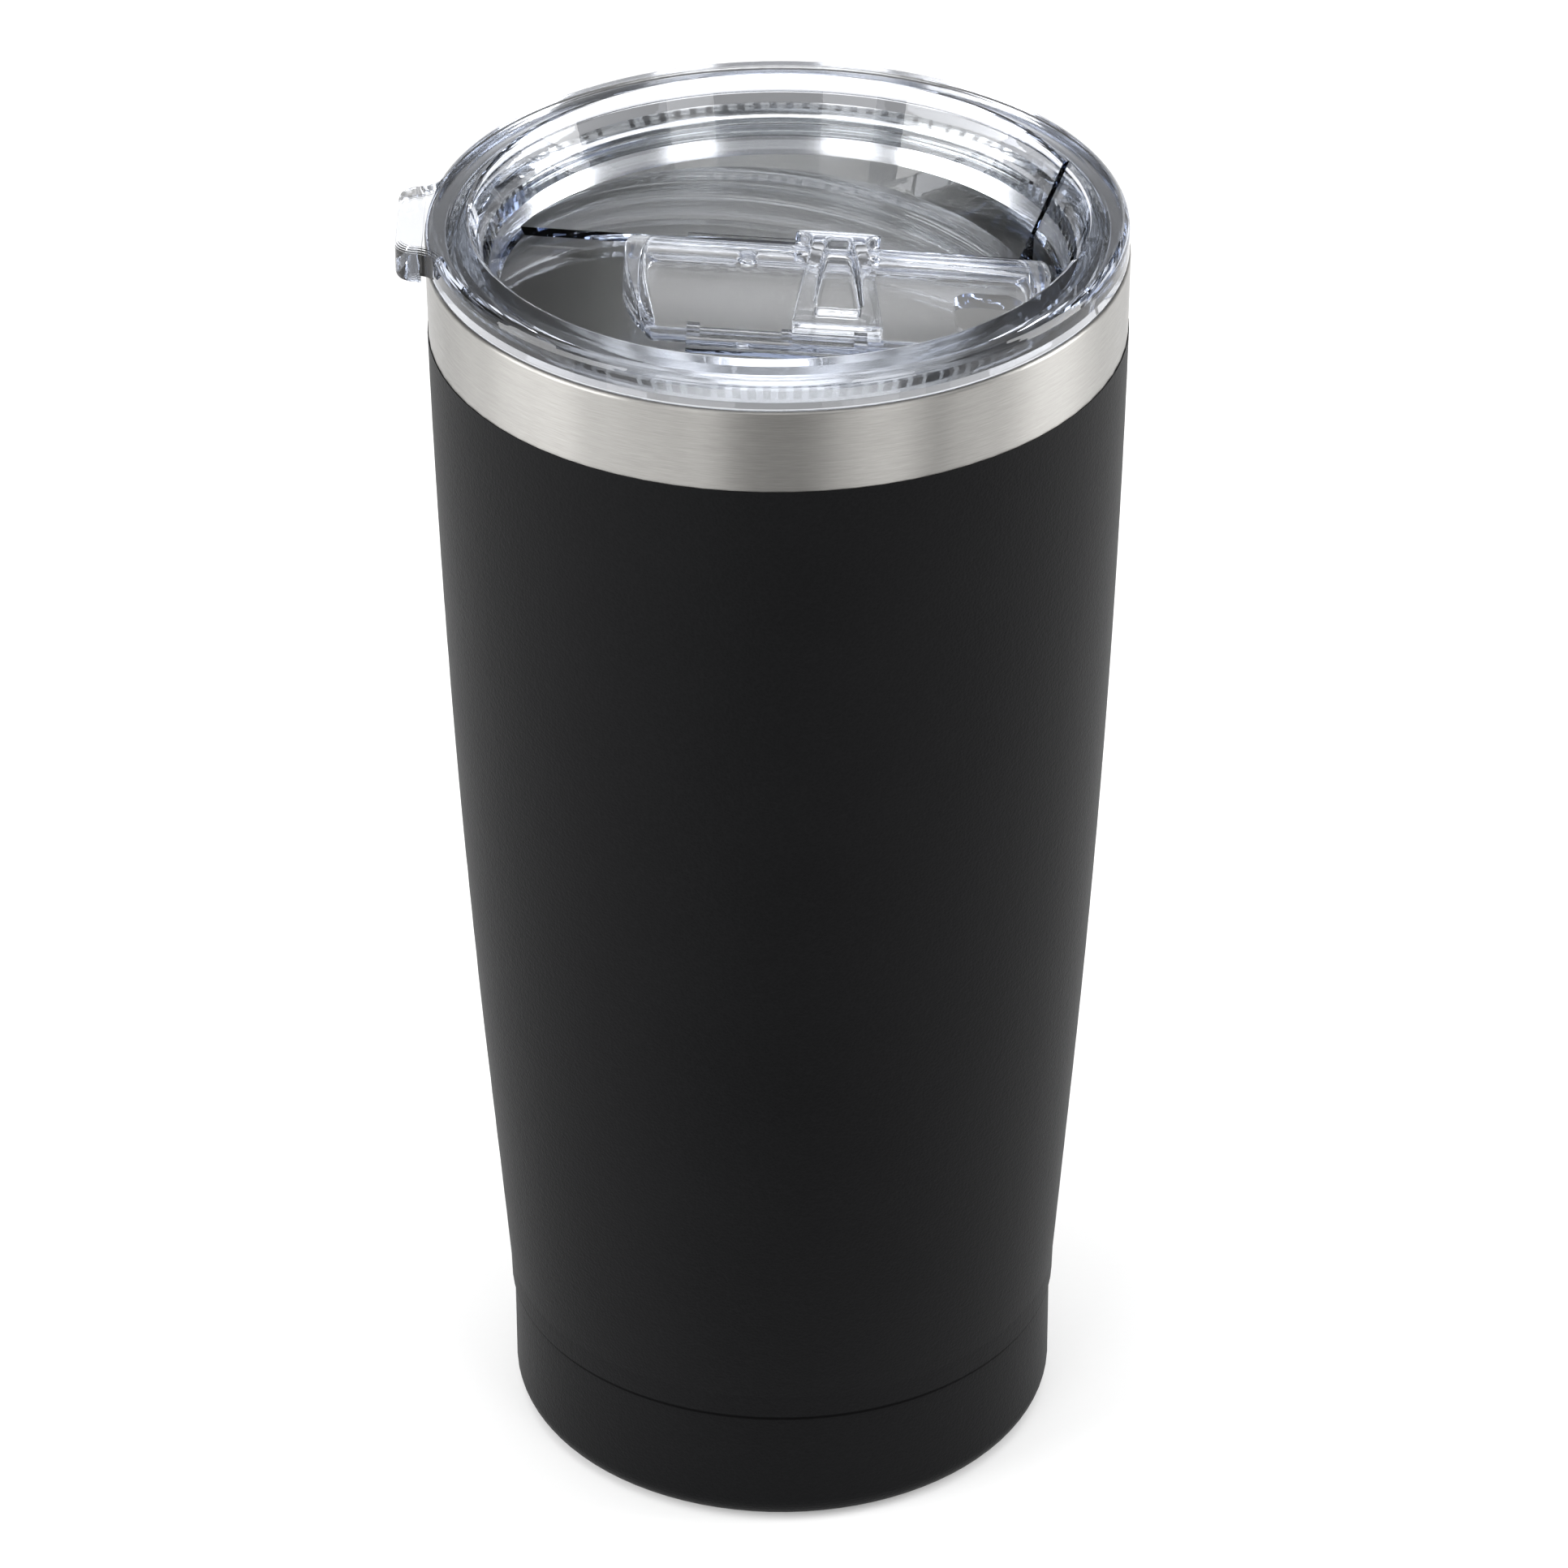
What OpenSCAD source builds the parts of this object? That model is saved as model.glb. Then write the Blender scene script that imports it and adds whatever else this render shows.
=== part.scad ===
// Insulated tumbler with a clear press-in lid and a slide closure.
// Millimetres, +Z up. The origin is the middle of the foot, on the surface it stands on.
// X runs from the pull tab (-X) to the drink side (+X), and the slide moves along it.

/* [Body] */
// Height of the steel rim above the foot
body_h = 169.8; // [120:0.1:240]
// Outer diameter of the steel at the rim
rim_od = 87; // [70:0.1:110]
// Outer diameter of the shell just above the base seam
foot_od = 72.3; // [55:0.1:95]
// Height where the straight lower taper turns into the curved upper wall
taper_z = 48.8; // [25:0.1:90]
// Slope of the wall at the rim, in degrees
rim_slope = 0.55; // [0:0.05:2]
// Thickness of the outer shell
wall_t = 0.5; // [0.4:0.05:0.8]
// Thickness of the powder coat with its primer
coat_t = 0.12; // [0.05:0.01:0.3]
// Thickness of the primer film under the shell's coat
primer_t = 0.02; // [0.01:0.01:0.04]
// Width of the bare steel band under the rim
band_h = 10.7; // [4:0.1:30]
// Rounding of the rim's outer corner
rim_round = 0.4; // [0.2:0.05:0.4]

/* [Base cup] */
// Height of the seam between the shell and the base cup
seam_z = 17; // [10:0.1:30]
// Width of the seam groove before coating
seam_w = 0.5; // [0.3:0.05:1]
// Step in from the shell's foot to the base cup
cup_inset = 0.47; // [0.3:0.01:1.5]
// Rounding of the base cup's outer corner
cup_round = 3.2; // [1:0.1:6]
// Width of the ring that the tumbler stands on
foot_w = 2.2; // [1:0.1:5]
// Height that the middle of the base is raised
base_rise = 1.6; // [0.8:0.1:4]
// Length of the base cup's lip that is welded inside the shell
cup_lip = 3.4; // [2:0.1:8]

/* [Liner] */
// Thickness of the inner liner
liner_t = 0.5; // [0.4:0.05:0.8]
// Radial width of the vacuum space at the rim
vac_gap = 2.1; // [1:0.1:5]
// Height of the liner's floor above the foot
floor_z = 10; // [7:0.1:30]
// Rounding of the liner's bottom corner
liner_round = 8; // [3:0.1:14]
// Depth of the straight mouth that takes the lid
mouth_h = 13; // [10:0.1:25]
// Thickness of the welded lip at the rim
lip_t = 1.2; // [0.8:0.1:2]
// Thickness of the copper wrap
wrap_t = 0.15; // [0.05:0.01:0.3]
// Slack between the copper wrap and the liner
wrap_gap = 0.03; // [0.02:0.01:0.1]

/* [Vacuum fittings] */
// Diameter of the dimple over the evacuation hole
dimple_d = 14; // [10:0.1:18]
// Depth of the dimple
dimple_h = 1.4; // [0.8:0.1:2.5]
// Diameter of the evacuation hole
evac_d = 1.6; // [0.8:0.1:3]
// Thickness of the cover disc under the base
disc_t = 0.5; // [0.3:0.05:1]
// Diameter of the getter pellet
getter_d = 8; // [5:0.1:10]
// Thickness of the getter pellet
getter_h = 1.8; // [1:0.1:2.5]
// Thickness of the getter clip's strip
clip_t = 0.3; // [0.2:0.05:0.5]
// Distance of the getter from the axis
getter_x = 17; // [14:0.1:20]

/* [Lid] */
// Step in from the rim to the lid's flange
lid_inset = 0.15; // [0.05:0.05:1]
// Height of the flange above the rim
flange_h = 4.5; // [3:0.1:8]
// Height of the small gap between the flange and the steel rim
rim_gap = 0.1; // [0.05:0.01:0.3]
// Rounding of the flange's top outer edge
flange_round = 1.5; // [0.4:0.1:2.5]
// Rounding of the recess's top edge
edge_round = 0.8; // [0.3:0.1:1.2]
// Wall between the plug and the recess at the top
recess_wall = 1.5; // [1:0.1:4]
// Depth of the recess at the axis, below the flange's top
recess_depth = 12.5; // [9:0.1:16]
// Draft of the recess wall, in degrees
recess_draft = 20; // [5:0.5:25]
// Slope of the recess floor down to the drink side, in degrees
floor_tilt = 4.4; // [0:0.1:6]
// Thickness of the recess floor
lid_floor_t = 2; // [1.5:0.1:3]
// Height of the step behind the slide
shelf_h = 1.2; // [0.8:0.1:2]
// Wall of the recess at the drink end
lid_wall = 2; // [1.5:0.1:3]
// Step in from the plug to the rounded nose under it
nose_in = 3.2; // [2:0.1:6]
// Height of the plug's lip under the gasket
plug_lip = 0.9; // [0.6:0.1:2]
// Gap between the plug and the mouth, bridged by the gasket
plug_gap = 0.9; // [0.5:0.05:1.5]
// Width of the pull tab
tab_w = 17.2; // [8:0.1:24]
// Reach of the pull tab beyond the flange
tab_out = 3.5; // [2:0.1:10]
// Rounding of the pull tab's corners
tab_round = 2.6; // [1:0.1:4]
// Rounding of the pull tab's top and bottom edges
tab_edge = 0.7; // [0.3:0.1:0.8]
// Radius of the hollow corners where the tab meets the flange
tab_root = 3.2; // [1:0.1:4]
// Step of the pull tab sideways, towards the front
tab_shift = 0.6; // [0:0.1:3]
// Drop of the tab's lip below the flange
tab_drop = 0.6; // [0.2:0.1:1.5]

/* [Gasket] */
// Height of the gasket
gasket_h = 2.6; // [1.5:0.1:4]
// Depth of the gasket's groove in the plug
gasket_in = 1.2; // [0.8:0.1:2]
// Gap left between the gasket's lip and the mouth
gasket_gap = 0.1; // [0.05:0.01:0.3]

/* [Slide] */
// Width of the slide's channel
channel_w = 26.4; // [20:0.1:32]
// Side gap between the slide and its channel
side_gap = 0.25; // [0.1:0.05:0.5]
// Gap under the slide
under_gap = 0.1; // [0.05:0.01:0.3]
// Gap between the closed slide and the wall at the drink end
closed_gap = 0.9; // [0.3:0.1:2]
// Gap between the open slide and the wall at the tab end
open_gap = 1.4; // [0.5:0.1:3]
// Height of the slide's arch above the channel floor
arch_h = 6; // [4:0.1:7]
// Thickness of the slide's edge flanges
edge_t = 1; // [0.8:0.1:1.5]
// Width of the slide's edge flanges
edge_w = 1.8; // [1.2:0.1:2.5]
// Wall of the slide's arch
arch_t = 1.9; // [1.2:0.1:2.5]
// Wall of the slide's two ends
end_t = 2.2; // [1.2:0.1:3]
// Place of the thumb grip along X
grip_x = 7; // [0:0.1:12]
// Height of the grip above the arch
grip_h = 2.1; // [1:0.1:3]
// Diameter of the vent hole in the slide
vent_d = 1.8; // [1:0.1:3]
// Place of the slide's vent hole along X
vent_x = -4.2; // [-10:0.1:0]

/* [Drink hole] */
// Length of the drink hole along X
drink_l = 8.6; // [5:0.1:10]
// Width of the drink hole along Y
drink_w = 11; // [8:0.1:18]
// Cover of the closed slide past the drink hole
drink_cover = 2.9; // [2.5:0.1:5]
// Clear way between the open slide and the drink hole
drink_clear = 2.1; // [1:0.1:4]
// Corner rounding of the drink hole
drink_round = 2.6; // [1:0.1:4]

/* [Hidden] */
$fn = 128;
rim_r = rim_od / 2;
foot_r = foot_od / 2;
cup_r = foot_r - cup_inset;
lid_r = rim_r - lid_inset;
// The shell's straight foot stands between the seam and this height.
blend_z = seam_z + 3.5;
curve_l = body_h - taper_z;
s0 = tan(rim_slope);
s1 = (rim_r - foot_r - s0 * curve_l / 2) / (curve_l / 2 + taper_z - blend_z);
coat_z = body_h - band_h;

// Outer radius of the steel shell at height z.
function shell_r(z) =
    z >= taper_z
        ? rim_r - s0 * (body_h - z) - (s1 - s0) * pow(body_h - z, 2) / (2 * curve_l)
        : z >= blend_z ? shell_r(taper_z) - s1 * (taper_z - z)
        : foot_r - 0.03 * (blend_z - z);
// Points of the shell's outline moved by d, from height a up to height b.
function wall_pts(d, a, b, n = 22) = [for (i = [0:n]) let (z = a + (b - a) * i / n) [shell_r(z) + d, z]];
function back(p) = [for (i = [len(p) - 1:-1:0]) p[i]];
// Points of an arc round c, from angle a to angle b.
function arc(c, r, a, b, n = 8) =
    [for (i = [0:n]) let (t = a + (b - a) * i / n) [c[0] + r * cos(t), c[1] + r * sin(t)]];

// Liner.
liner_off = -(wall_t + vac_gap);
mouth_r = rim_r - wall_t - vac_gap - liner_t;
mouth_z = body_h - mouth_h;
weld_z = floor_z + liner_round + 4;
liner_low = shell_r(weld_z) + liner_off;
wrap_top = mouth_z - 6;
wrap_low = weld_z + 3;

// Base.
cup_in = cup_r - wall_t;
foot_in = cup_r - cup_round - foot_w;
lip_top = seam_z + cup_lip;
dimple_z = base_rise + dimple_h;

// Lid. Heights are at the axis, where the tilted floor crosses it.
flange_z = body_h + rim_gap;
lid_top = flange_z + flange_h;
lid_floor_z = lid_top - recess_depth;
plug_r = mouth_r - plug_gap;
recess_r = plug_r - recess_wall;
nose_r = plug_r - nose_in;
scoop_r = nose_r - lid_wall;
channel_y = channel_w / 2;
gasket_z = flange_z - 1.6 - gasket_h;
gasket_r = plug_r - gasket_in;
wall_k = tan(recess_draft);
function recess_at(z) = recess_r - wall_k * (lid_top - z);
// Centre of the rounding between the drafted wall and the flange's top.
edge_x = recess_r + edge_round * (cos(recess_draft) - wall_k * (1 - sin(recess_draft)));

// Slide, in a frame whose z = 0 is the channel floor at the axis.
slide_x1 = scoop_r - closed_gap;
drink_x = slide_x1 - drink_cover - drink_l / 2;
travel = drink_l + drink_cover + drink_clear;
// The recess wall's radius where the open slide comes nearest to it.
tab_wall = recess_at(lid_floor_z + (recess_r - 4) * sin(floor_tilt));
slide_x0 = tab_wall - travel - open_gap;
slide_y = channel_y - side_gap;
arch_y = slide_y - edge_w;
arch_rise = arch_h - edge_t - under_gap;
arch_r = (arch_y * arch_y + arch_rise * arch_rise) / (2 * arch_rise);
arch_z = arch_h - arch_r;
slide_low = under_gap;

// ---- Body ----

module turned(points) {
    rotate_extrude($fn = 180) polygon(points);
}

// Drawn outer shell, open at both ends, with a rounded rim corner.
module outer_shell() {
    color([0.72, 0.71, 0.69])
    turned(concat(
        wall_pts(0, seam_z + seam_w / 2, blend_z, 2),
        wall_pts(0, blend_z + 1, body_h - rim_round),
        arc([rim_r - rim_round, body_h - rim_round], rim_round, 0, 90, 5),
        [[rim_r - wall_t, body_h]],
        back(wall_pts(-wall_t, blend_z + 1, body_h - rim_round - 1)),
        back(wall_pts(-wall_t, seam_z + seam_w / 2, blend_z, 2))
    ));
}

// Coat over the shell, down through the seam groove and round the base cup's corner.
// A primer film lies behind it on the shell, and its top edge reaches the steel.
module powder_coat() {
    lo = seam_z - seam_w / 2;
    hi = seam_z + seam_w / 2;
    lip_r = shell_r(hi) - wall_t;
    f = primer_t;
    corner = [cup_r - cup_round, cup_round];
    color([0.10, 0.10, 0.11])
    turned(concat(
        arc(corner, cup_round + coat_t, -70, 0, 8),
        [[cup_r + coat_t, lo + coat_t], [lip_r + coat_t, lo + coat_t],
         [lip_r + coat_t, hi - coat_t], [shell_r(hi) + coat_t, hi - coat_t]],
        wall_pts(coat_t, hi, blend_z, 2),
        wall_pts(coat_t, blend_z + 1, coat_z),
        [[shell_r(coat_z), coat_z]],
        back(wall_pts(f, blend_z + 1, coat_z - 1)),
        back(wall_pts(f, hi, blend_z, 2)),
        [[shell_r(hi) + f, hi - f], [lip_r, hi - f], [lip_r, lo], [cup_r, lo]],
        arc(corner, cup_round, 0, -70, 8)
    ));
}

// Pressed base cup: outer wall, standing ring, raised middle, dimple and a joggled weld lip.
module base_cup() {
    lo = seam_z - seam_w / 2;
    lip_r = shell_r(seam_z + seam_w / 2) - wall_t;
    corner = [cup_r - cup_round, cup_round];
    t = wall_t;
    color([0.70, 0.69, 0.67])
    difference() {
        turned(concat(
            [[0, base_rise + t], [0, base_rise], [foot_in - 1.6, base_rise], [foot_in, 0]],
            arc(corner, cup_round, -90, 0, 10),
            [[cup_r, lo], [lip_r, lo]],
            [for (z = [seam_z + seam_w / 2, blend_z, lip_top]) [shell_r(z) - t, z]],
            [[shell_r(lip_top) - 2 * t, lip_top], [lip_r - t, seam_z], [lip_r - t, lo - 1], [cup_in, lo - 2]],
            arc(corner, cup_round - t, 0, -90, 10),
            [[foot_in + 0.4, t], [foot_in - 1.2, base_rise + t]]
        ));
        translate([0, 0, base_rise - 1]) cylinder(h = 4, d = dimple_d);
    }
    color([0.70, 0.69, 0.67])
    difference() {
        translate([0, 0, base_rise]) cylinder(h = dimple_h + t, d = dimple_d + 2 * t);
        translate([0, 0, base_rise - 1]) cylinder(h = dimple_h + 1, d = dimple_d);
        translate([0, 0, base_rise - 1]) cylinder(h = 8, d = evac_d);
    }
}

// Drawn liner: straight mouth, tapered wall and an outward lip that meets the shell.
module inner_liner() {
    top = mouth_z - 3;
    color([0.78, 0.78, 0.77])
    turned(concat(
        [[liner_low, weld_z]],
        wall_pts(liner_off, weld_z + 1, top),
        [[mouth_r + liner_t, mouth_z], [mouth_r + liner_t, body_h - lip_t],
         [shell_r(body_h - 2) - wall_t, body_h - lip_t], [rim_r - wall_t, body_h]],
        arc([mouth_r + 0.5, body_h - 0.5], 0.5, 90, 180, 4),
        [[mouth_r, mouth_z]],
        back(wall_pts(liner_off - liner_t, weld_z + 1, top)),
        [[liner_low - liner_t, weld_z]]
    ));
}

// Dished bottom, butt-welded to the liner's wall.
module liner_bottom() {
    ro = liner_low;
    ri = ro - liner_t;
    c = [ri - liner_round, floor_z + liner_round];
    color([0.78, 0.78, 0.77])
    turned(concat(
        [[0, floor_z - liner_t], [c[0], floor_z - liner_t]],
        arc(c, liner_round + liner_t, -90, 0, 12),
        [[ro, weld_z], [ri, weld_z]],
        arc(c, liner_round, 0, -90, 12),
        [[0, floor_z]]
    ));
}

// Copper foil round the outside of the liner, nipped to it at both ends.
module copper_wrap() {
    d = liner_off + wrap_gap;
    color([0.72, 0.43, 0.26])
    turned(concat(
        wall_pts(d + wrap_t, wrap_low, wrap_top, 12),
        [[shell_r(wrap_top) + liner_off, wrap_top]],
        back(wall_pts(d, wrap_low + 1, wrap_top - 1, 12)),
        [[shell_r(wrap_low) + liner_off, wrap_low]]
    ));
}

// ---- Vacuum fittings ----

getter_low = base_rise + wall_t + clip_t + 0.6;

module getter() {
    color([0.35, 0.34, 0.33])
    translate([getter_x, 0, getter_low]) cylinder(h = getter_h, d = getter_d, $fn = 64);
}

// Strip with two welded feet, a sunk cradle and side lips that hold the pellet.
module getter_clip() {
    z = base_rise + wall_t;
    w = 5;
    foot = 2.4;
    half = getter_d / 2 + clip_t;
    color([0.75, 0.75, 0.74])
    translate([getter_x, 0, z]) {
        for (s = [-1, 1]) {
            translate([-w / 2, s * (half + foot / 2) - foot / 2, 0]) cube([w, foot, clip_t]);
            translate([-w / 2, s * (half - clip_t / 2) - clip_t / 2, 0])
                cube([w, clip_t, getter_low - z + getter_h]);
        }
        translate([-w / 2, -half, getter_low - z - clip_t]) cube([w, 2 * half, clip_t]);
    }
}

// Fused bead that closes the evacuation hole from below.
module evac_seal() {
    bead = 2.6;
    color([0.25, 0.33, 0.30])
    intersection() {
        translate([0, 0, dimple_z + 1.6]) sphere(r = bead, $fn = 64);
        translate([0, 0, base_rise]) cylinder(h = dimple_h, d = dimple_d - 1);
    }
}

// Thin cover disc set into the raised base.
module bottom_disc() {
    color([0.74, 0.73, 0.71])
    translate([0, 0, base_rise - disc_t])
        cylinder(h = disc_t, r = foot_in - 1.6 - 0.25);
}

// ---- Lid ----

// The space above the plane that lies dz over the channel floor.
module above_floor(dz, x0, x1, y0, y1, h = 40) {
    translate([0, 0, lid_floor_z]) rotate([0, floor_tilt, 0])
        translate([x0, y0, dz]) cube([x1 - x0, y1 - y0, h]);
}

// Plan of half the tab drawn in by g, grown out of the ring with a hollow corner on the +Y side.
module half_tab_plan(g) {
    ring = lid_r - 0.25;
    root_l = 4;
    reach = lid_r + tab_out;
    side = tab_w / 2;
    yc = side + tab_root;
    xc = -sqrt(pow(ring + tab_root, 2) - yc * yc);
    k = (ring - g) / (ring + tab_root);
    difference() {
        union() {
            translate([-reach + tab_round, side - tab_round]) circle(r = tab_round - g, $fn = 48);
            translate([-reach + g, -1]) square([tab_out + root_l, side - tab_round + 1]);
            translate([-reach + tab_round, -1]) square([tab_out + root_l - tab_round, side - g + 1]);
            polygon([[-ring + root_l, side - 1.8], [xc, side - 1.8], [xc, yc], [xc * k, yc * k],
                     [xc * k + 3, yc * k - 3]]);
        }
        translate([xc, yc]) circle(r = tab_root + g, $fn = 64);
    }
}

// Half the tab from height low to high, with its edges rounded in fine steps.
module half_tab(low, high) {
    for (a = [0:22.5:90]) {
        t = tab_edge * (1 - sin(a));
        translate([0, 0, low + t]) linear_extrude(height = high - low - 2 * t)
            half_tab_plan(tab_edge * (1 - cos(a)));
    }
}

// Tab reaching past the flange, with a lip that hangs a little lower outside the rim.
module pull_tab() {
    top = flange_h - 0.25;
    clear = 0.3;
    lip_x = -rim_r - 0.15;
    translate([0, -tab_shift, flange_z])
    for (s = [0, 1]) mirror([0, s, 0]) {
        half_tab(clear, top);
        intersection() {
            half_tab(-tab_drop, top);
            translate([lip_x - 20, -1, -tab_drop]) cube([20, tab_w, top + tab_drop]);
        }
    }
}

// Rail segments that hold the slide's edge flange down, s = -1 in front and 1 behind.
module rails(s) {
    base_w = 1.7;
    over = edge_w - side_gap - 0.55;
    top = slide_low + edge_t + 0.12;
    bars = [[-11.4, -9.8, 1.5], [-9.8, 0.2, 0.9], [0.2, 1.5, 1.3], [1.5, 9.1, 0.9], [9.1, 10.7, 1.5]];
    translate([0, 0, lid_floor_z]) rotate([0, floor_tilt, 0])
    mirror([0, s < 0 ? 1 : 0, 0])
    for (b = bars) {
        h = s < 0 ? b[2] : 0.4;
        translate([b[0], channel_y, s < 0 ? -0.5 : 0])
            cube([b[1] - b[0], s < 0 ? base_w : 0.6, top + h + (s < 0 ? 0.5 : 0)]);
        translate([b[0], channel_y - over - side_gap / 2, top])
            cube([b[1] - b[0], over + side_gap / 2 + 0.5, h]);
    }
}

// Ring, plug, tilted floor, recess, drink scoop, drink hole and vent, with rails and tab.
module lid_body() {
    low = lid_floor_z - lid_floor_t;
    color([0.86, 0.90, 0.94, 0.45])
    difference() {
        union() {
            intersection() {
                turned(concat(
                    [[0, low - 8], [nose_r, low - 8], [nose_r + 0.5, low - 1],
                     [nose_r + 0.9, gasket_z - plug_lip - 1.2], [plug_r - 0.4, gasket_z - plug_lip],
                     [plug_r, gasket_z - plug_lip + 0.3],
                     [plug_r, gasket_z], [gasket_r, gasket_z], [gasket_r, gasket_z + gasket_h],
                     [plug_r, gasket_z + gasket_h], [plug_r, flange_z],
                     [plug_r + 1, flange_z]],
                    arc([lid_r - 0.4, flange_z + 0.4], 0.4, -90, 0, 4),
                    arc([lid_r - flange_round, lid_top - 0.15 - flange_round], flange_round, 0, 80, 7),
                    [[lid_r - 3, lid_top], [0, lid_top]]
                ));
                above_floor(-lid_floor_t, -60, 60, -60, 60, 60);
            }
            pull_tab();
        }
        // Recess, down to the shelf behind the slide and to the channel floor in front of it.
        intersection() {
            turned(concat(
                [[0, low - 6], [recess_at(low - 6), low - 6]],
                arc([edge_x, lid_top - edge_round], edge_round, 180 - recess_draft, 100, 6),
                [[edge_x + 0.22, lid_top + 0.05], [edge_x + 0.22, lid_top + 1], [0, lid_top + 1]]
            ));
            union() {
                above_floor(shelf_h, -60, 60, channel_y - 0.5, 60);
                above_floor(0, -60, 60, -60, channel_y);
            }
        }
        // Scoop through the wall at the drink end of the channel.
        intersection() {
            turned([[0, low - 6], [scoop_r, low - 6], [scoop_r + 0.4, lid_floor_z + 2],
                    [recess_r + 0.7, lid_top + 0.1], [recess_r + 0.7, lid_top + 1], [0, lid_top + 1]]);
            above_floor(0, 15, 60, -channel_y, channel_y);
        }
        drink_hole(0);
        // Vent that the slide's hole stands over when it is open.
        translate([0, 0, lid_floor_z]) rotate([0, floor_tilt, 0])
            translate([vent_x - travel, 0, -lid_floor_t - 2]) cylinder(h = lid_floor_t + 4, d = vent_d);
    }
    color([0.86, 0.90, 0.94, 0.45]) { rails(-1); rails(1); }
}

// Rounded hole through the channel floor, grown by g on every side.
module drink_hole(g) {
    l = drink_l + 2 * g;
    w = drink_w + 2 * g;
    r = drink_round + g;
    translate([0, 0, lid_floor_z]) rotate([0, floor_tilt, 0])
    translate([drink_x, 0, -lid_floor_t - 2])
    linear_extrude(height = lid_floor_t + 4)
    union() {
        square([l - 2 * r, w], center = true);
        square([l, w - 2 * r], center = true);
        for (i = [-1, 1], j = [-1, 1])
            translate([i * (l / 2 - r), j * (w / 2 - r)]) circle(r = r, $fn = 48);
    }
}

// Soft ring in the plug's groove, with a main bulge and one thin sealing lip.
module lid_gasket() {
    r = mouth_r - gasket_gap;
    z = gasket_z;
    m = gasket_h;
    color([0.85, 0.86, 0.86])
    turned([[gasket_r, z], [plug_r + 0.1, z + 0.1], [r - 0.25, z + 0.35], [r, z + 0.65],
            [r - 0.2, z + 0.95], [plug_r + 0.15, z + m * 0.5], [r - 0.2, z + m - 0.95], [r, z + m - 0.65],
            [r - 0.25, z + m - 0.35], [plug_r + 0.1, z + m - 0.1], [gasket_r, z + m]]);
}

// ---- Slide ----

grip_back = 6.5;
grip_front = -(arch_y + 0.6);
ear_y = 4.9;
waist_y = 1.8;
waist_half = 3.4;
// Half width of the thumb grip at distance y from the axis: legs, waist and rounded ears behind it.
function grip_half(y) =
    y > ear_y ? 2.9 + 2.4 * sqrt(1 - pow((y - ear_y) / (grip_back - ear_y), 2))
    : y > waist_y ? waist_half + 1.9 * pow((y - waist_y) / (ear_y - waist_y), 2.4)
    : waist_half + 2.2 * pow((waist_y - y) / (waist_y - grip_front), 1.35);
function window_half(y) = 1.35 + 1.75 * (2.6 - y) / 13.2;

module grip_outline() {
    n = 14;
    turn = 8;
    ys = concat(
        [for (i = [0:n - 1]) grip_front + (ear_y - grip_front) * i / n],
        [for (i = [0:turn]) ear_y + (grip_back - ear_y) * sin(90 * i / turn)]
    );
    w0 = grip_front + 1.9;
    w1 = 2.6;
    difference() {
        polygon(concat([for (y = ys) [grip_half(y), y]], back([for (y = ys) [-grip_half(y), y]])));
        polygon([[window_half(w0), w0], [window_half(w1), w1], [-window_half(w1), w1], [-window_half(w0), w0]]);
    }
}

// A cylinder lying along X, centred under the arch.
module lying(r, x0, x1) {
    translate([x0, 0, arch_z]) rotate([0, 90, 0]) cylinder(h = x1 - x0, r = r, $fn = 180);
}

// Plan of the slide, drawn in by g: the tab end bows out, and the drink end follows the recess.
module slide_plan(h, g) {
    bow = 24;
    linear_extrude(height = h)
    intersection() {
        union() {
            translate([bow - slide_x0, 0]) circle(r = bow - g, $fn = 180);
            translate([bow - slide_x0 - 3, -slide_y]) square([60, 2 * slide_y]);
        }
        circle(r = slide_x1 - g, $fn = 180);
    }
}

// Clear slide: arched body on two edge flanges, waisted grip and a vent hole.
module slide() {
    hi = arch_h + grip_h + 1;
    color([0.86, 0.90, 0.94, 0.45])
    translate([0, 0, lid_floor_z]) rotate([0, floor_tilt, 0])
    difference() {
        union() {
            intersection() {
                union() {
                    translate([-60, -slide_y, slide_low]) cube([120, 2 * slide_y, edge_t]);
                    lying(arch_r, -60, 60);
                }
                translate([0, 0, slide_low]) slide_plan(hi, 0);
                translate([-60, -slide_y, 0]) cube([120, 2 * slide_y, hi]);
            }
            intersection() {
                lying(arch_r + grip_h, grip_x - 10, grip_x + 10);
                translate([grip_x, 0, slide_low + edge_t / 2]) linear_extrude(height = hi) grip_outline();
            }
        }
        // Hollow under the arch, closed at both ends.
        intersection() {
            lying(arch_r - arch_t, -60, 60);
            translate([0, 0, -1]) slide_plan(hi, end_t);
            translate([-60, -arch_y + arch_t * 0.7, -1]) cube([120, 2 * arch_y - arch_t * 1.4, hi]);
        }
        translate([vent_x, 0, -1]) cylinder(h = hi + 2, d = vent_d, $fn = 48);
    }
}

outer_shell();
powder_coat();
base_cup();
inner_liner();
liner_bottom();
copper_wrap();
getter();
getter_clip();
evac_seal();
bottom_disc();
lid_body();
lid_gasket();
slide();
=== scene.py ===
"""Insulated tumbler with a clear press-in lid and a slide closure, dressed for a studio shot."""

import logging
import math
from dataclasses import dataclass
from enum import Enum
from typing import Any, Optional, Union

import bpy
from mathutils import Matrix, Vector


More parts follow.
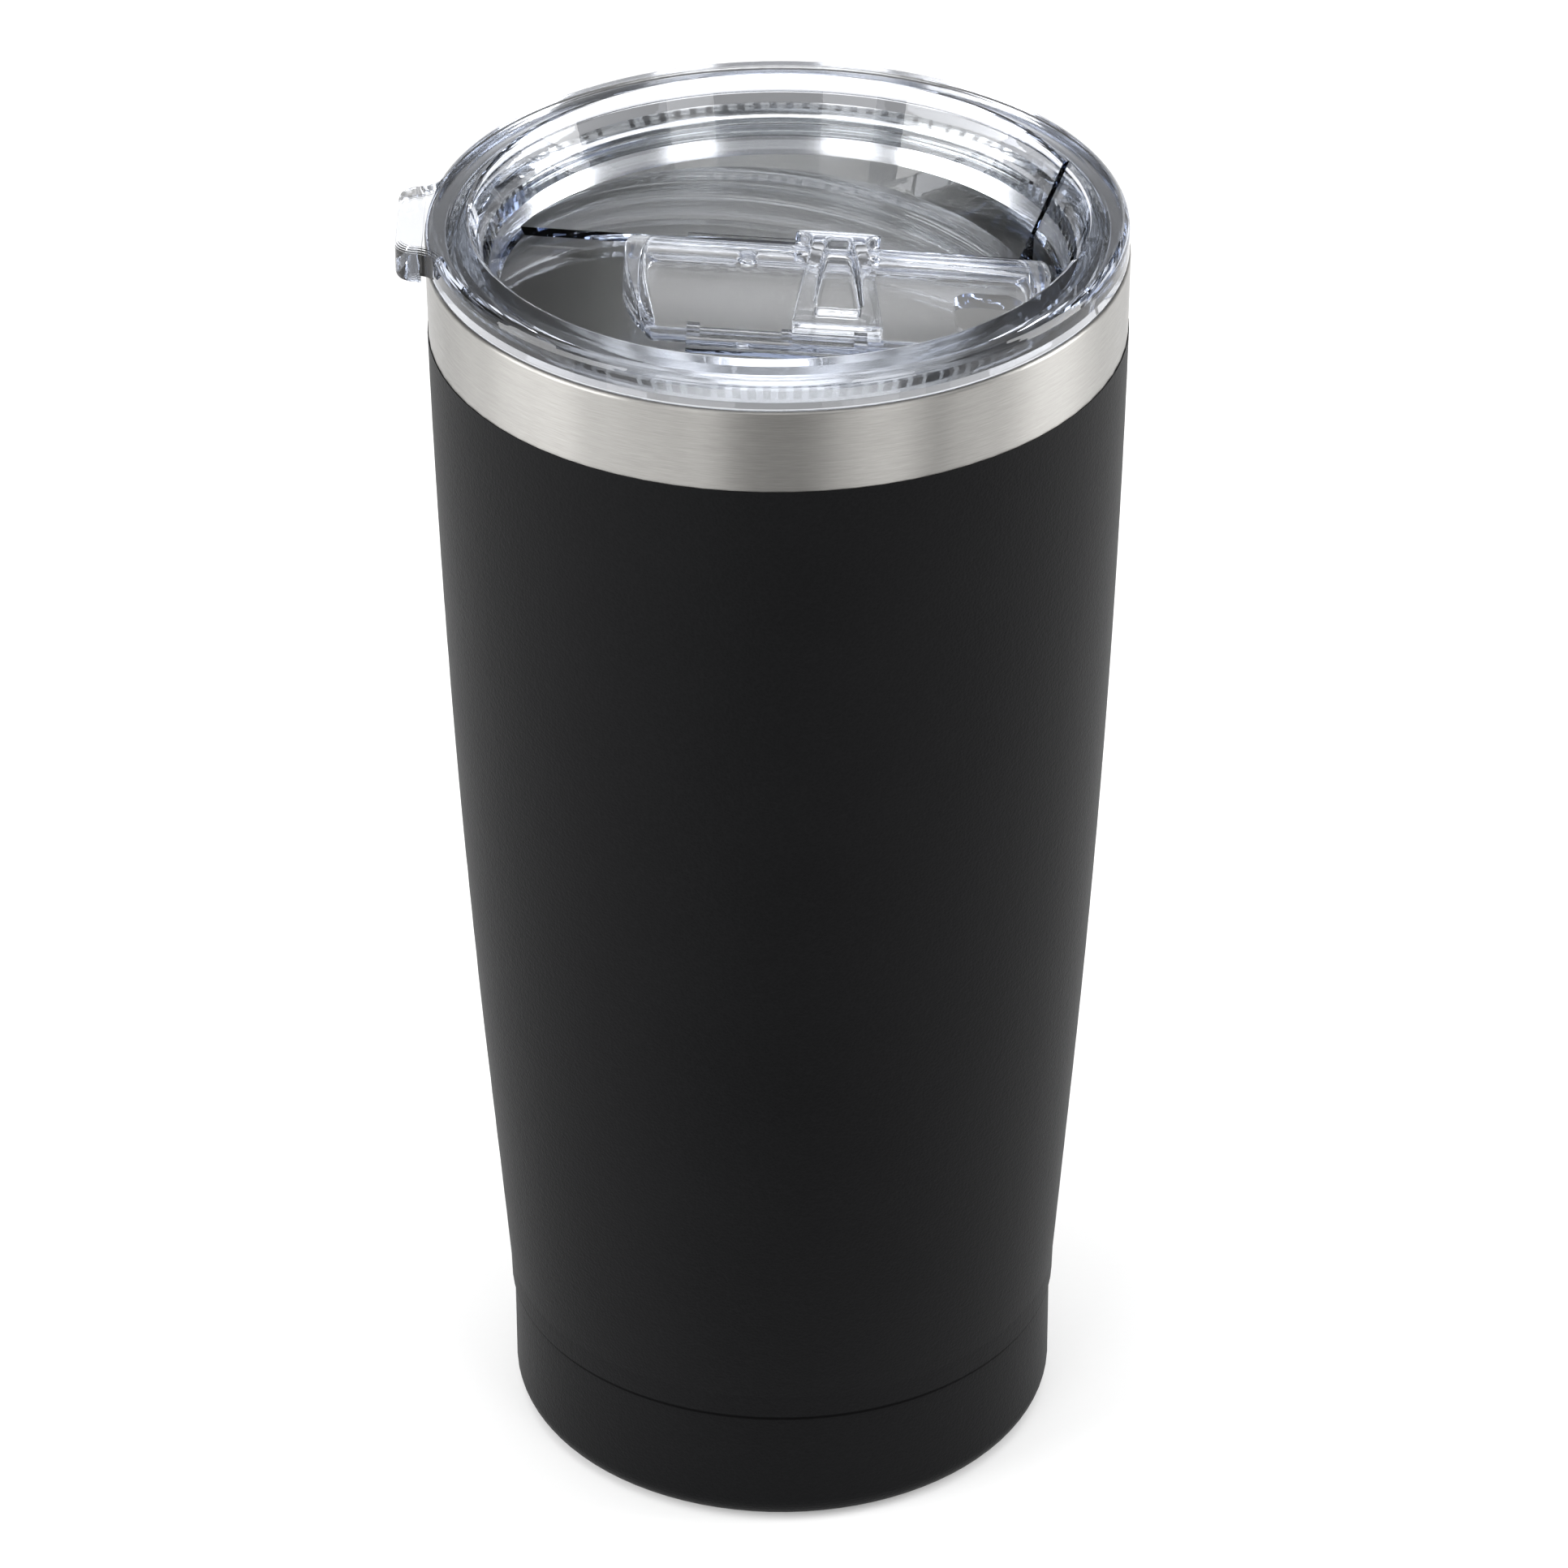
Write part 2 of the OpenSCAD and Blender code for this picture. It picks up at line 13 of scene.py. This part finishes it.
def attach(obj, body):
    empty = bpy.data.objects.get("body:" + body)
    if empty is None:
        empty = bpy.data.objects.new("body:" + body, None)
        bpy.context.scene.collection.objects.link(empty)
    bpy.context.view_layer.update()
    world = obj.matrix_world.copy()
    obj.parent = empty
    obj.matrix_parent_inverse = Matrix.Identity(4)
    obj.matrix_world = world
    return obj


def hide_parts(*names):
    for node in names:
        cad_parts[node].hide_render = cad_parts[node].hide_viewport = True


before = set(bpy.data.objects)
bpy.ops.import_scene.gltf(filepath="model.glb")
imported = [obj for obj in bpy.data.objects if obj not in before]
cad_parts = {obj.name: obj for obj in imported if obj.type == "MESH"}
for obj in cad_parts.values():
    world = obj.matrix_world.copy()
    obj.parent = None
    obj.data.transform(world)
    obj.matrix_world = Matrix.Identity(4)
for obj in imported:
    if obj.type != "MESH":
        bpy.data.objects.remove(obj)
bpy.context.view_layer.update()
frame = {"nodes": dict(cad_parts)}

MM = 0.001

logging.basicConfig(level=logging.INFO, format="%(name)s: %(message)s")
log = logging.getLogger("tumbler")

Colour = tuple[float, float, float, float]

WHITE: Colour = (1.0, 1.0, 1.0, 1.0)
BLACK: Colour = (0.0, 0.0, 0.0, 1.0)
# Near-black colour of painted shade lines, drawn where the shadow between parts would fall.
PAINTED_SHADE: Colour = (0.001, 0.001, 0.001, 1.0)


class Direction(Enum):
    """Which way a line of brushing or drawing runs on a turned piece."""

    ROUND = "round the axis"
    UPRIGHT = "along the axis"


# ---- Shader expressions ----


class Wire:
    """A socket's value in a shader expression: operators on it add Math nodes."""

    def __init__(self, graph: "Graph", socket: bpy.types.NodeSocket) -> None:
        """Wraps a socket.

        Args:
            graph: The graph that the socket belongs to.
            socket: The output socket.
        """
        self.graph = graph
        self.socket = socket

    def math(self, operation: str, *others: Union["Wire", float], flip: bool = False) -> "Wire":
        """Adds one Math node.

        Args:
            operation: Blender's name for the operation.
            others: The other operands.
            flip: Whether the first two operands change places.

        Returns:
            The node's result.
        """
        operands = [self, *others]
        if flip:
            operands[:2] = operands[1::-1]
        node = self.graph.node("ShaderNodeMath", {"operation": operation}, dict(enumerate(operands)))
        return self.graph.out(node)

    def __add__(self, other: Union["Wire", float]) -> "Wire":
        """self + other."""
        return self.math("ADD", other)

    __radd__ = __add__

    def __sub__(self, other: Union["Wire", float]) -> "Wire":
        """self - other."""
        return self.math("SUBTRACT", other)

    def __rsub__(self, other: Union["Wire", float]) -> "Wire":
        """other - self."""
        return self.math("SUBTRACT", other, flip=True)

    def __mul__(self, other: Union["Wire", float]) -> "Wire":
        """self * other."""
        return self.math("MULTIPLY", other)

    __rmul__ = __mul__

    def __truediv__(self, other: Union["Wire", float]) -> "Wire":
        """self / other."""
        return self.math("DIVIDE", other)

    def __pow__(self, other: Union["Wire", float]) -> "Wire":
        """self ** other."""
        return self.math("POWER", other)

    def clamped(self) -> "Wire":
        """The value held between 0 and 1."""
        return self.math("MAXIMUM", 0.0).math("MINIMUM", 1.0)


class Graph:
    """The nodes of one material, or of the surround, written as expressions."""

    def __init__(self, name: str, owner: Optional[bpy.types.World] = None) -> None:
        """Makes an empty material, or empties the owner's nodes.

        Args:
            name: The material's name.
            owner: A world to fill instead of a new material.
        """
        self.material = owner or bpy.data.materials.new(name)
        self.material.use_nodes = True
        self.tree = self.material.node_tree
        self.tree.nodes.clear()
        self.place = self.node("ShaderNodeTexCoord", {}, {})

    def node(self, kind: str, settings: dict[str, Any], values: dict[Union[str, int], Any]) -> bpy.types.Node:
        """Adds one node.

        Args:
            kind: The node's type.
            settings: Its own properties.
            values: What its input sockets hold or are linked to.

        Returns:
            The new node.
        """
        made = self.tree.nodes.new(kind)
        for key, value in settings.items():
            setattr(made, key, value)
        for key, value in values.items():
            if isinstance(value, Wire):
                self.tree.links.new(value.socket, made.inputs[key])
            else:
                made.inputs[key].default_value = value
        return made

    def out(self, node: bpy.types.Node, name: Union[str, int] = 0) -> Wire:
        """One output of a node as a wire."""
        return Wire(self, node.outputs[name])

    def object_point(self) -> Wire:
        """The point on the piece, in metres in the tumbler's own frame."""
        return self.out(self.place, "Object")

    def axes(self) -> tuple[Wire, Wire, Wire]:
        """The point's X, Y and Z."""
        split = self.node("ShaderNodeSeparateXYZ", {}, {0: self.object_point()})
        return self.out(split, 0), self.out(split, 1), self.out(split, 2)

    def round_point(self, radius: float) -> tuple[Wire, Wire]:
        """The arc length round the axis at a radius, and the height, in metres."""
        x, y, z = self.axes()
        return y.math("ARCTAN2", x) * radius, z

    def vector(self, x: Union[Wire, float], y: Union[Wire, float], z: Union[Wire, float]) -> Wire:
        """Three numbers as one vector."""
        return self.out(self.node("ShaderNodeCombineXYZ", {}, {0: x, 1: y, 2: z}))

    def noise(self, at: Wire, scale: float, detail: float = 3.0, rough: float = 0.55) -> Wire:
        """Smooth noise from 0 to 1.

        Args:
            at: Where it is read.
            scale: Its features in each metre.
            detail: How many finer layers it has.
            rough: How strong the finer layers are.

        Returns:
            The noise.
        """
        made = self.node(
            "ShaderNodeTexNoise",
            {"noise_dimensions": "3D"},
            {"Vector": at, "Scale": scale, "Detail": detail, "Roughness": rough},
        )
        return self.out(made, 0)

    def cells(self, at: Wire, scale: float) -> Wire:
        """The distance to the nearest of many scattered points.

        Args:
            at: Where it is read.
            scale: How many points stand in each metre.

        Returns:
            The distance, in cells.
        """
        made = self.node("ShaderNodeTexVoronoi", {"feature": "F1"}, {"Vector": at, "Scale": scale})
        return self.out(made, "Distance")

    def mix(self, share: Union[Wire, float], first: Union[Wire, Colour], second: Union[Wire, Colour]) -> Wire:
        """One colour turning into another.

        Args:
            share: 0 for the first, 1 for the second.
            first: The first colour.
            second: The second colour.

        Returns:
            The mixed colour.
        """
        made = self.node("ShaderNodeMix", {"data_type": "RGBA"}, {0: share, 6: first, 7: second})
        return self.out(made, 2)

    def bump(self, height: Wire, distance: float, strength: float = 1.0) -> Wire:
        """A normal bent by a height.

        Args:
            height: The height, from 0 to 1.
            distance: How far 1 stands out, in metres.
            strength: How much of it shows.

        Returns:
            The bent normal.
        """
        made = self.node("ShaderNodeBump", {}, {"Strength": strength, "Distance": distance, "Height": height})
        return self.out(made)

    def finish(
        self,
        values: dict[str, Any],
        absorb: Optional[tuple[Colour, float]] = None,
        painted_shade: Optional[Wire] = None,
    ) -> bpy.types.Material:
        """Ends the material with one Principled shader, mixed with painted shade where asked.

        Args:
            values: What the shader's sockets hold or are linked to.
            absorb: The colour and density that thick parts are tinted with.
            painted_shade: Where a painted shade line, a near-black matte shader, is mixed over the surface,
                from 0 to 1.

        Returns:
            The material.
        """
        surface = self.out(self.node("ShaderNodeBsdfPrincipled", {}, values))
        # Painted shade: a near-black matte shader is mixed in where the mask is high.
        if painted_shade:
            dark = {"Base Color": PAINTED_SHADE, "Roughness": 1.0, "Specular IOR Level": 0.0}
            shade_shader = self.out(self.node("ShaderNodeBsdfPrincipled", {}, dark))
            surface = self.out(self.node("ShaderNodeMixShader", {}, {0: painted_shade, 1: surface, 2: shade_shader}))
        sockets: dict[Union[str, int], Any] = {"Surface": surface}
        if absorb:
            volume = self.node("ShaderNodeVolumeAbsorption", {}, {"Color": absorb[0], "Density": absorb[1]})
            sockets["Volume"] = self.out(volume)
        self.node("ShaderNodeOutputMaterial", {}, sockets)
        return self.material


# ---- Finishes ----


@dataclass(frozen=True)
class PowderCoat:
    """Matte powder coat with a fine grain, with a painted shade line along the base seam."""

    slot: str = "black_coat"
    colour: Colour = (0.0022, 0.0023, 0.0026, 1.0)
    worn: Colour = (0.0062, 0.0064, 0.007, 1.0)
    grain: float = 2600.0
    clouds: float = 38.0
    roughness: float = 0.5
    shine: float = 0.06
    sheen: float = 0.05
    sheen_roughness: float = 0.35
    relief: float = 0.045 * MM
    # Where the painted shade line along the base seam sits, its half width, its edge sharpness and its
    # darkness.
    seam: float = 16.88 * MM
    seam_half: float = 0.42 * MM
    seam_soft: float = 2.5
    seam_shade_strength: float = 0.6

    def make(self) -> bpy.types.Material:
        """Builds the material and returns it."""
        g = Graph("Matte powder coat")
        at = g.object_point()
        grain = g.cells(at, self.grain)
        orange_peel = g.noise(at, self.grain * 0.35, 2.0)
        cloud = g.noise(at, self.clouds, 3.0)
        height = grain * 0.6 + orange_peel * 0.7
        # Mask of painted shade along the base seam, standing in for the shadow at the shell's lower edge.
        from_seam = (g.axes()[2] - self.seam).math("ABSOLUTE") / self.seam_half
        return g.finish(
            {
                "Base Color": g.mix((cloud * 0.6 + grain * 0.5).clamped(), self.colour, self.worn),
                "Roughness": (cloud - 0.5) * 0.08 + grain * 0.06 + self.roughness,
                "Specular IOR Level": self.shine,
                "Sheen Weight": self.sheen,
                "Sheen Roughness": self.sheen_roughness,
                "Normal": g.bump(height, self.relief, 0.9),
            },
            painted_shade=((1.0 - from_seam) * self.seam_soft).clamped() * self.seam_shade_strength,
        )


@dataclass(frozen=True)
class TurnedSteel:
    """Stainless steel with fine lines from brushing or drawing."""

    name: str
    slot: str
    colour: Colour
    dark: Colour
    radius: float
    roughness: float
    lines: Direction = Direction.ROUND
    depth: float = 0.002 * MM
    stretch: float = 26.0
    contrast: float = 1.0
    anisotropy: float = 0.0
    across: float = 0.25
    fine: float = 9000.0
    coarse: float = 2600.0
    clouds: float = 95.0

    def make(self) -> bpy.types.Material:
        """Builds the material and returns it."""
        g = Graph(self.name)
        along, height = g.round_point(self.radius)
        if self.lines is Direction.ROUND:
            at = g.vector(along / self.stretch, 0.0, height)
            soft_at = g.vector(along * 0.9, 0.0, height * 0.12)
        else:
            at = g.vector(along, 0.0, height / self.stretch)
            soft_at = g.vector(along, 0.0, height * 0.2)
        hairs = g.noise(at, self.fine, 2.0, 0.7)
        streaks = g.noise(at, self.coarse, 4.0, 0.65)
        soft = g.noise(soft_at, self.clouds, 2.0, 0.5)
        pattern = (hairs - 0.5) * 0.9 + (streaks - 0.5) * 0.7 + (soft - 0.5) * 0.6
        share = (pattern * self.contrast + 0.4).clamped()
        values = {
            "Base Color": g.mix(share, self.colour, self.dark),
            "Metallic": 1.0,
            "Roughness": ((hairs - 0.5) * 0.18 + (soft - 0.5) * 0.12) * self.contrast + self.roughness,
            "Normal": g.bump(hairs * 0.6 + streaks * 0.4, self.depth),
        }
        if self.anisotropy:
            values["Anisotropic"] = self.anisotropy
            values["Anisotropic Rotation"] = self.across
        return g.finish(values)


@dataclass(frozen=True)
class Foil:
    """Bright foil with fine crinkles."""

    name: str
    slot: str
    colour: Colour
    dark: Colour
    crinkles: float = 420.0
    clouds: float = 130.0
    relief: float = 0.04 * MM

    def make(self) -> bpy.types.Material:
        """Builds the material and returns it."""
        g = Graph(self.name)
        at = g.object_point()
        crinkle = g.cells(at, self.crinkles)
        cloud = g.noise(at, self.clouds, 4.0)
        return g.finish(
            {
                "Base Color": g.mix((cloud * 1.2 - 0.1).clamped(), self.colour, self.dark),
                "Metallic": 1.0,
                "Roughness": cloud * 0.2 + 0.18,
                "Normal": g.bump(crinkle, self.relief),
            }
        )


@dataclass(frozen=True)
class Sinter:
    """Pressed and sintered powder."""

    slot: str = "getter_powder"
    colour: Colour = (0.16, 0.155, 0.15, 1.0)
    dark: Colour = (0.06, 0.06, 0.058, 1.0)
    grains: float = 3800.0
    relief: float = 0.05 * MM

    def make(self) -> bpy.types.Material:
        """Builds the material and returns it."""
        g = Graph("Sintered powder")
        grit = g.cells(g.object_point(), self.grains)
        return g.finish(
            {
                "Base Color": g.mix(grit.clamped(), self.colour, self.dark),
                "Metallic": 0.6,
                "Roughness": grit * 0.3 + 0.55,
                "Normal": g.bump(grit, self.relief),
            }
        )


@dataclass(frozen=True)
class Bead:
    """Fused glass solder."""

    slot: str = "seal_glass"
    colour: Colour = (0.10, 0.17, 0.15, 1.0)
    pale: Colour = (0.18, 0.25, 0.22, 1.0)
    swirls: float = 700.0
    ior: float = 1.52
    relief: float = 0.03 * MM

    def make(self) -> bpy.types.Material:
        """Builds the material and returns it."""
        g = Graph("Fused seal glass")
        swirl = g.noise(g.object_point(), self.swirls, 3.0)
        return g.finish(
            {
                "Base Color": g.mix(swirl, self.colour, self.pale),
                "Roughness": swirl * 0.12 + 0.05,
                "IOR": self.ior,
                "Coat Weight": 0.4,
                "Normal": g.bump(swirl, self.relief),
            }
        )


@dataclass(frozen=True)
class ClearPlastic:
    """Clear moulded plastic, a little blue where it is thick."""

    name: str = "Clear moulded plastic"
    slot: str = "clear_plastic"
    pale: Colour = (0.985, 0.985, 0.99, 1.0)
    ior: float = 1.52
    tint: Colour = (0.66, 0.74, 0.90, 1.0)
    density: float = 36.0
    flow_marks: float = 55.0
    haze_marks: float = 420.0
    relief: float = 0.05 * MM

    def make(self) -> bpy.types.Material:
        """Builds the material and returns it."""
        g = Graph(self.name)
        at = g.object_point()
        flow = g.noise(at, self.flow_marks, 2.0)
        haze = g.noise(at, self.haze_marks, 3.0)
        return g.finish(
            {
                "Base Color": g.mix(flow, WHITE, self.pale),
                "Roughness": ((haze - 0.45) * 0.06).clamped() + 0.006,
                "IOR": self.ior,
                "Transmission Weight": 1.0,
                "Normal": g.bump(flow * 0.8 + haze * 0.2, self.relief, 0.35),
            },
            (self.tint, self.density),
        )


@dataclass(frozen=True)
class Silicone:
    """Soft translucent silicone."""

    slot: str = "silicone"
    colour: Colour = (0.92, 0.94, 0.95, 1.0)
    dark: Colour = (0.84, 0.86, 0.87, 1.0)
    clouds: float = 260.0
    ior: float = 1.42
    relief: float = 0.02 * MM

    def make(self) -> bpy.types.Material:
        """Builds the material and returns it."""
        g = Graph("Translucent silicone")
        cloud = g.noise(g.object_point(), self.clouds, 3.0)
        return g.finish(
            {
                "Base Color": g.mix(cloud, self.colour, self.dark),
                "Roughness": cloud * 0.06 + 0.03,
                "IOR": self.ior,
                "Transmission Weight": 1.0,
                "Normal": g.bump(cloud, self.relief, 0.5),
            }
        )


# ---- Pieces ----


def select_only(piece: bpy.types.Object) -> None:
    """Selects one object and makes it the active one.

    Args:
        piece: The object.
    """
    bpy.ops.object.select_all(action="DESELECT")
    piece.select_set(True)
    bpy.context.view_layer.objects.active = piece


def dress(piece: bpy.types.Object, material: bpy.types.Material) -> None:
    """Gives a piece one material.

    Args:
        piece: The object.
        material: The finish's material.
    """
    piece.data.materials.clear()
    piece.data.materials.append(material)
    log.info("%s wears %s", piece.name, material.name)


@dataclass
class Body:
    """The double-walled steel body, its coat and its vacuum fittings."""

    rim_radius: float = 43.5 * MM
    liner_radius: float = 40.4 * MM
    foot_radius: float = 36.0 * MM

    def finishes(self) -> dict[str, Any]:
        """Each node's finish."""
        band = TurnedSteel(
            name="Brushed rim band",
            slot="brushed_band",
            colour=(0.38, 0.372, 0.357, 1.0),
            dark=(0.235, 0.229, 0.218, 1.0),
            radius=self.rim_radius,
            roughness=0.36,
            anisotropy=0.8,
        )
        base = TurnedSteel(
            name="Satin base steel",
            slot="base_steel",
            colour=(0.58, 0.57, 0.555, 1.0),
            dark=(0.42, 0.415, 0.405, 1.0),
            radius=self.foot_radius,
            roughness=0.36,
        )
        liner = TurnedSteel(
            name="Polished liner steel",
            slot="liner_steel",
            colour=(0.96, 0.96, 0.955, 1.0),
            dark=(0.88, 0.88, 0.875, 1.0),
            radius=self.liner_radius,
            roughness=0.17,
            lines=Direction.UPRIGHT,
            depth=0.0002 * MM,
            stretch=14.0,
            contrast=0.3,
        )
        disc = TurnedSteel(
            name="Brushed disc steel",
            slot="disc_steel",
            colour=(0.62, 0.61, 0.595, 1.0),
            dark=(0.47, 0.46, 0.45, 1.0),
            radius=self.foot_radius * 0.5,
            roughness=0.3,
        )
        copper = Foil("Copper foil", "copper", (0.74, 0.42, 0.26, 1.0), (0.55, 0.28, 0.16, 1.0))
        return {
            "outer_shell": band,
            "powder_coat": PowderCoat(),
            "base_cup": base,
            "inner_liner": liner,
            "liner_bottom": liner,
            "copper_wrap": copper,
            "getter": Sinter(),
            "getter_clip": base,
            "evac_seal": Bead(),
            "bottom_disc": disc,
        }

    def build(self, nodes: dict[str, bpy.types.Object]) -> None:
        """Dresses the body's nodes.

        Args:
            nodes: The loaded nodes by name.
        """
        made: dict[int, bpy.types.Material] = {}
        for name, finish in self.finishes().items():
            if id(finish) not in made:
                made[id(finish)] = finish.make()
            dress(nodes[name], made[id(finish)])


@dataclass
class Lid:
    """The clear lid, its gasket and the slide."""

    merge: float = 0.002 * MM
    voxel: float = 0.25 * MM
    softness: float = 0.5
    passes: int = 4

    def moulded(self, node: bpy.types.Object, name: str, body: str) -> bpy.types.Object:
        """Copies a node as one closed skin with softly rounded moulded edges.

        Args:
            node: The node to copy.
            name: The new piece's name.
            body: The body it rides on.

        Returns:
            The new piece.
        """
        piece = bpy.data.objects.new(name, node.data.copy())
        bpy.context.scene.collection.objects.link(piece)
        select_only(piece)
        bpy.ops.mesh.customdata_custom_splitnormals_clear()
        bpy.ops.object.mode_set(mode="EDIT")
        bpy.ops.mesh.select_all(action="SELECT")
        bpy.ops.mesh.remove_doubles(threshold=self.merge)
        bpy.ops.object.mode_set(mode="OBJECT")
        skin = piece.modifiers.new("Skin", "REMESH")
        skin.mode = "VOXEL"
        skin.voxel_size = self.voxel
        bpy.ops.object.modifier_apply(modifier=skin.name)
        soften = piece.modifiers.new("Soften", "SMOOTH")
        soften.factor = self.softness
        soften.iterations = self.passes
        bpy.ops.object.modifier_apply(modifier=soften.name)
        bpy.ops.object.shade_smooth()
        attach(piece, body)
        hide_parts(node.name)
        return piece

    def build(self, nodes: dict[str, bpy.types.Object]) -> None:
        """Builds and dresses the lid's pieces.

        Args:
            nodes: The loaded nodes by name.
        """
        plastic = ClearPlastic()
        material = plastic.make()
        dress(nodes["lid_body"], material)
        dress(self.moulded(nodes["slide"], "moulded_slide", "slide"), material)
        silicone = Silicone()
        dress(nodes["lid_gasket"], silicone.make())


# ---- Studio ----


@dataclass
class SoftBox:
    """One rectangular studio light."""

    name: str
    place: tuple[float, float, float]
    size: tuple[float, float]
    power: float
    aim: tuple[float, float, float] = (0.0, 0.0, 0.09)
    colour: tuple[float, float, float] = (1.0, 1.0, 1.0)

    def build(self) -> None:
        """Adds the light."""
        look = (Vector(self.aim) - Vector(self.place)).to_track_quat("-Z", "Y").to_euler()
        bpy.ops.object.light_add(type="AREA", location=self.place, rotation=look)
        lamp = bpy.context.object
        lamp.name = self.name
        lamp.data.shape = "RECTANGLE"
        lamp.data.size, lamp.data.size_y = self.size
        lamp.data.energy = self.power
        lamp.data.color = self.colour


@dataclass
class Card:
    """A card that lies on the floor in front of the tumbler, out of the picture, to shape its reflections."""

    name: str
    azimuth: float
    width: float
    glow: float
    near: float = 0.15
    far: float = 0.75
    lift: float = 1.0 * MM

    def build(self) -> None:
        """Adds the card, which only reflections and refractions show."""
        turn = math.radians(self.azimuth)
        middle = (self.near + self.far) / 2
        place = (middle * math.sin(turn), -middle * math.cos(turn), self.lift)
        bpy.ops.object.select_all(action="DESELECT")
        bpy.ops.mesh.primitive_plane_add(size=1.0, location=place, rotation=(0.0, 0.0, turn))
        card = bpy.context.object
        card.name = self.name
        card.scale = (self.width, self.far - self.near, 1.0)
        bpy.ops.object.transform_apply(location=True, rotation=True, scale=True)
        g = Graph(f"Card of {self.name}")
        card.data.materials.append(
            g.finish(
                {
                    "Base Color": BLACK,
                    "Roughness": 1.0,
                    "Specular IOR Level": 0.0,
                    "Emission Color": WHITE,
                    "Emission Strength": self.glow,
                }
            )
        )
        card.visible_camera = False
        card.visible_diffuse = False
        card.visible_shadow = False


@dataclass
class Studio:
    """Pale floor, soft light and the camera."""

    floor_radius: float = 6.0
    floor_pale: Colour = (0.72, 0.72, 0.72, 1.0)
    floor_dark: Colour = (0.70, 0.70, 0.70, 1.0)
    floor_glow: float = 0.25
    front_light: float = 0.2
    surround_light: float = 0.95
    overhead_light: float = 1.9
    overhead_focus: float = 5.0
    side_light: float = 0.75
    turn_to_back: float = 1.1
    rear_shade: float = 0.85
    rear_start: float = 0.1
    rear_soft: float = 4.0
    belt_low: float = 0.15
    belt_low_soft: float = 5.0
    belt_high: float = 0.9
    belt_high_soft: float = 4.0
    bounces: int = 24
    glass_bounces: int = 20
    mirror_bounces: int = 10
    near_clip: float = 0.05
    lens: float = 168.26
    sensor: float = 36.0
    camera_place: tuple[float, float, float] = (0.0, -0.80412, 0.58673)
    pitch: float = 31.62
    yaw: float = 0.036
    roll: float = -0.211

    def floor(self) -> None:
        """Adds a pale sweep under the tumbler."""
        bpy.ops.object.select_all(action="DESELECT")
        bpy.ops.mesh.primitive_circle_add(vertices=96, radius=self.floor_radius, fill_type="NGON")
        sweep = bpy.context.object
        sweep.name = "studio_floor"
        g = Graph("Pale studio paper")
        tooth = g.noise(g.object_point(), 900.0, 3.0)
        sweep.data.materials.append(
            g.finish(
                {
                    "Base Color": g.mix(tooth, self.floor_pale, self.floor_dark),
                    "Roughness": 0.9,
                    "Specular IOR Level": 0.1,
                    "Emission Color": WHITE,
                    "Emission Strength": self.floor_glow,
                }
            )
        )
        log.info("floor laid")

    def world(self) -> None:
        """Surrounds the set with pale light, dim in front, bright overhead and darker in a belt behind."""
        surround = bpy.data.worlds.new("Soft surround")
        g = Graph("Soft surround", surround)
        split = g.node("ShaderNodeSeparateXYZ", {}, {0: g.out(g.place, "Generated")})
        back, up = g.out(split, 1), g.out(split, 2)
        towards_back = (back * self.turn_to_back + self.side_light).clamped()
        overhead = up.clamped() ** self.overhead_focus
        behind = ((back - self.rear_start) * self.rear_soft).clamped()
        above_low = ((up - self.belt_low) * self.belt_low_soft).clamped()
        below_high = ((self.belt_high - up) * self.belt_high_soft).clamped()
        belt = above_low * below_high
        level = towards_back * (self.surround_light - self.front_light) + self.front_light
        strength = level * (1.0 - behind * belt * self.rear_shade) + overhead * self.overhead_light
        pale = g.node("ShaderNodeBackground", {}, {"Color": WHITE, "Strength": strength})
        g.node("ShaderNodeOutputWorld", {}, {"Surface": g.out(pale)})
        bpy.context.scene.world = surround

    def lights(self) -> None:
        """Hangs the soft boxes."""
        for box in (
            SoftBox("left_box", (-0.8, -0.25, 0.3), (0.7, 0.8), 8.0),
            SoftBox("right_box", (0.85, 0.05, 0.3), (0.4, 0.8), 6.0),
            SoftBox("right_strip", (0.5, -0.76, 0.45), (0.3, 0.9), 1.6),
            SoftBox("left_strip", (-0.42, -0.8, 0.45), (0.34, 0.9), 1.6),
        ):
            box.build()
            log.info("%s hung", box.name)
        for card in (
            Card("front_flag", 0.0, 0.16, 0.5, near=0.07),
            Card("right_reflector", 30.0, 0.085, 1.6),
            Card("left_reflector", -32.0, 0.08, 1.35),
            Card("right_flag", 50.0, 0.05, 0.6),
            Card("left_flag", -60.0, 0.07, 0.7),
            Card("side_reflector", 72.0, 0.08, 1.4),
        ):
            card.build()
            log.info("%s laid", card.name)

    def camera(self) -> None:
        """Sets the camera."""
        turn = (
            Matrix.Rotation(math.radians(-self.yaw), 4, "Z")
            @ Matrix.Rotation(math.radians(90.0 - self.pitch), 4, "X")
            @ Matrix.Rotation(math.radians(self.roll), 4, "Z")
        )
        bpy.ops.object.camera_add(location=self.camera_place, rotation=turn.to_euler())
        camera = bpy.context.object
        camera.name = "studio_camera"
        camera.data.lens = self.lens
        camera.data.sensor_width = self.sensor
        camera.data.clip_start = self.near_clip
        bpy.context.scene.camera = camera

    def build(self) -> None:
        """Sets up the whole studio."""
        self.floor()
        self.world()
        self.lights()
        self.camera()
        scene = bpy.context.scene
        scene.view_settings.view_transform = "Standard"
        scene.cycles.max_bounces = self.bounces
        scene.cycles.transmission_bounces = self.glass_bounces
        scene.cycles.glossy_bounces = self.mirror_bounces


def main() -> None:
    """Builds the tumbler and its studio."""
    nodes = frame["nodes"]
    Body().build(nodes)
    Lid().build(nodes)
    Studio().build()


if __name__ == "__main__":
    main()
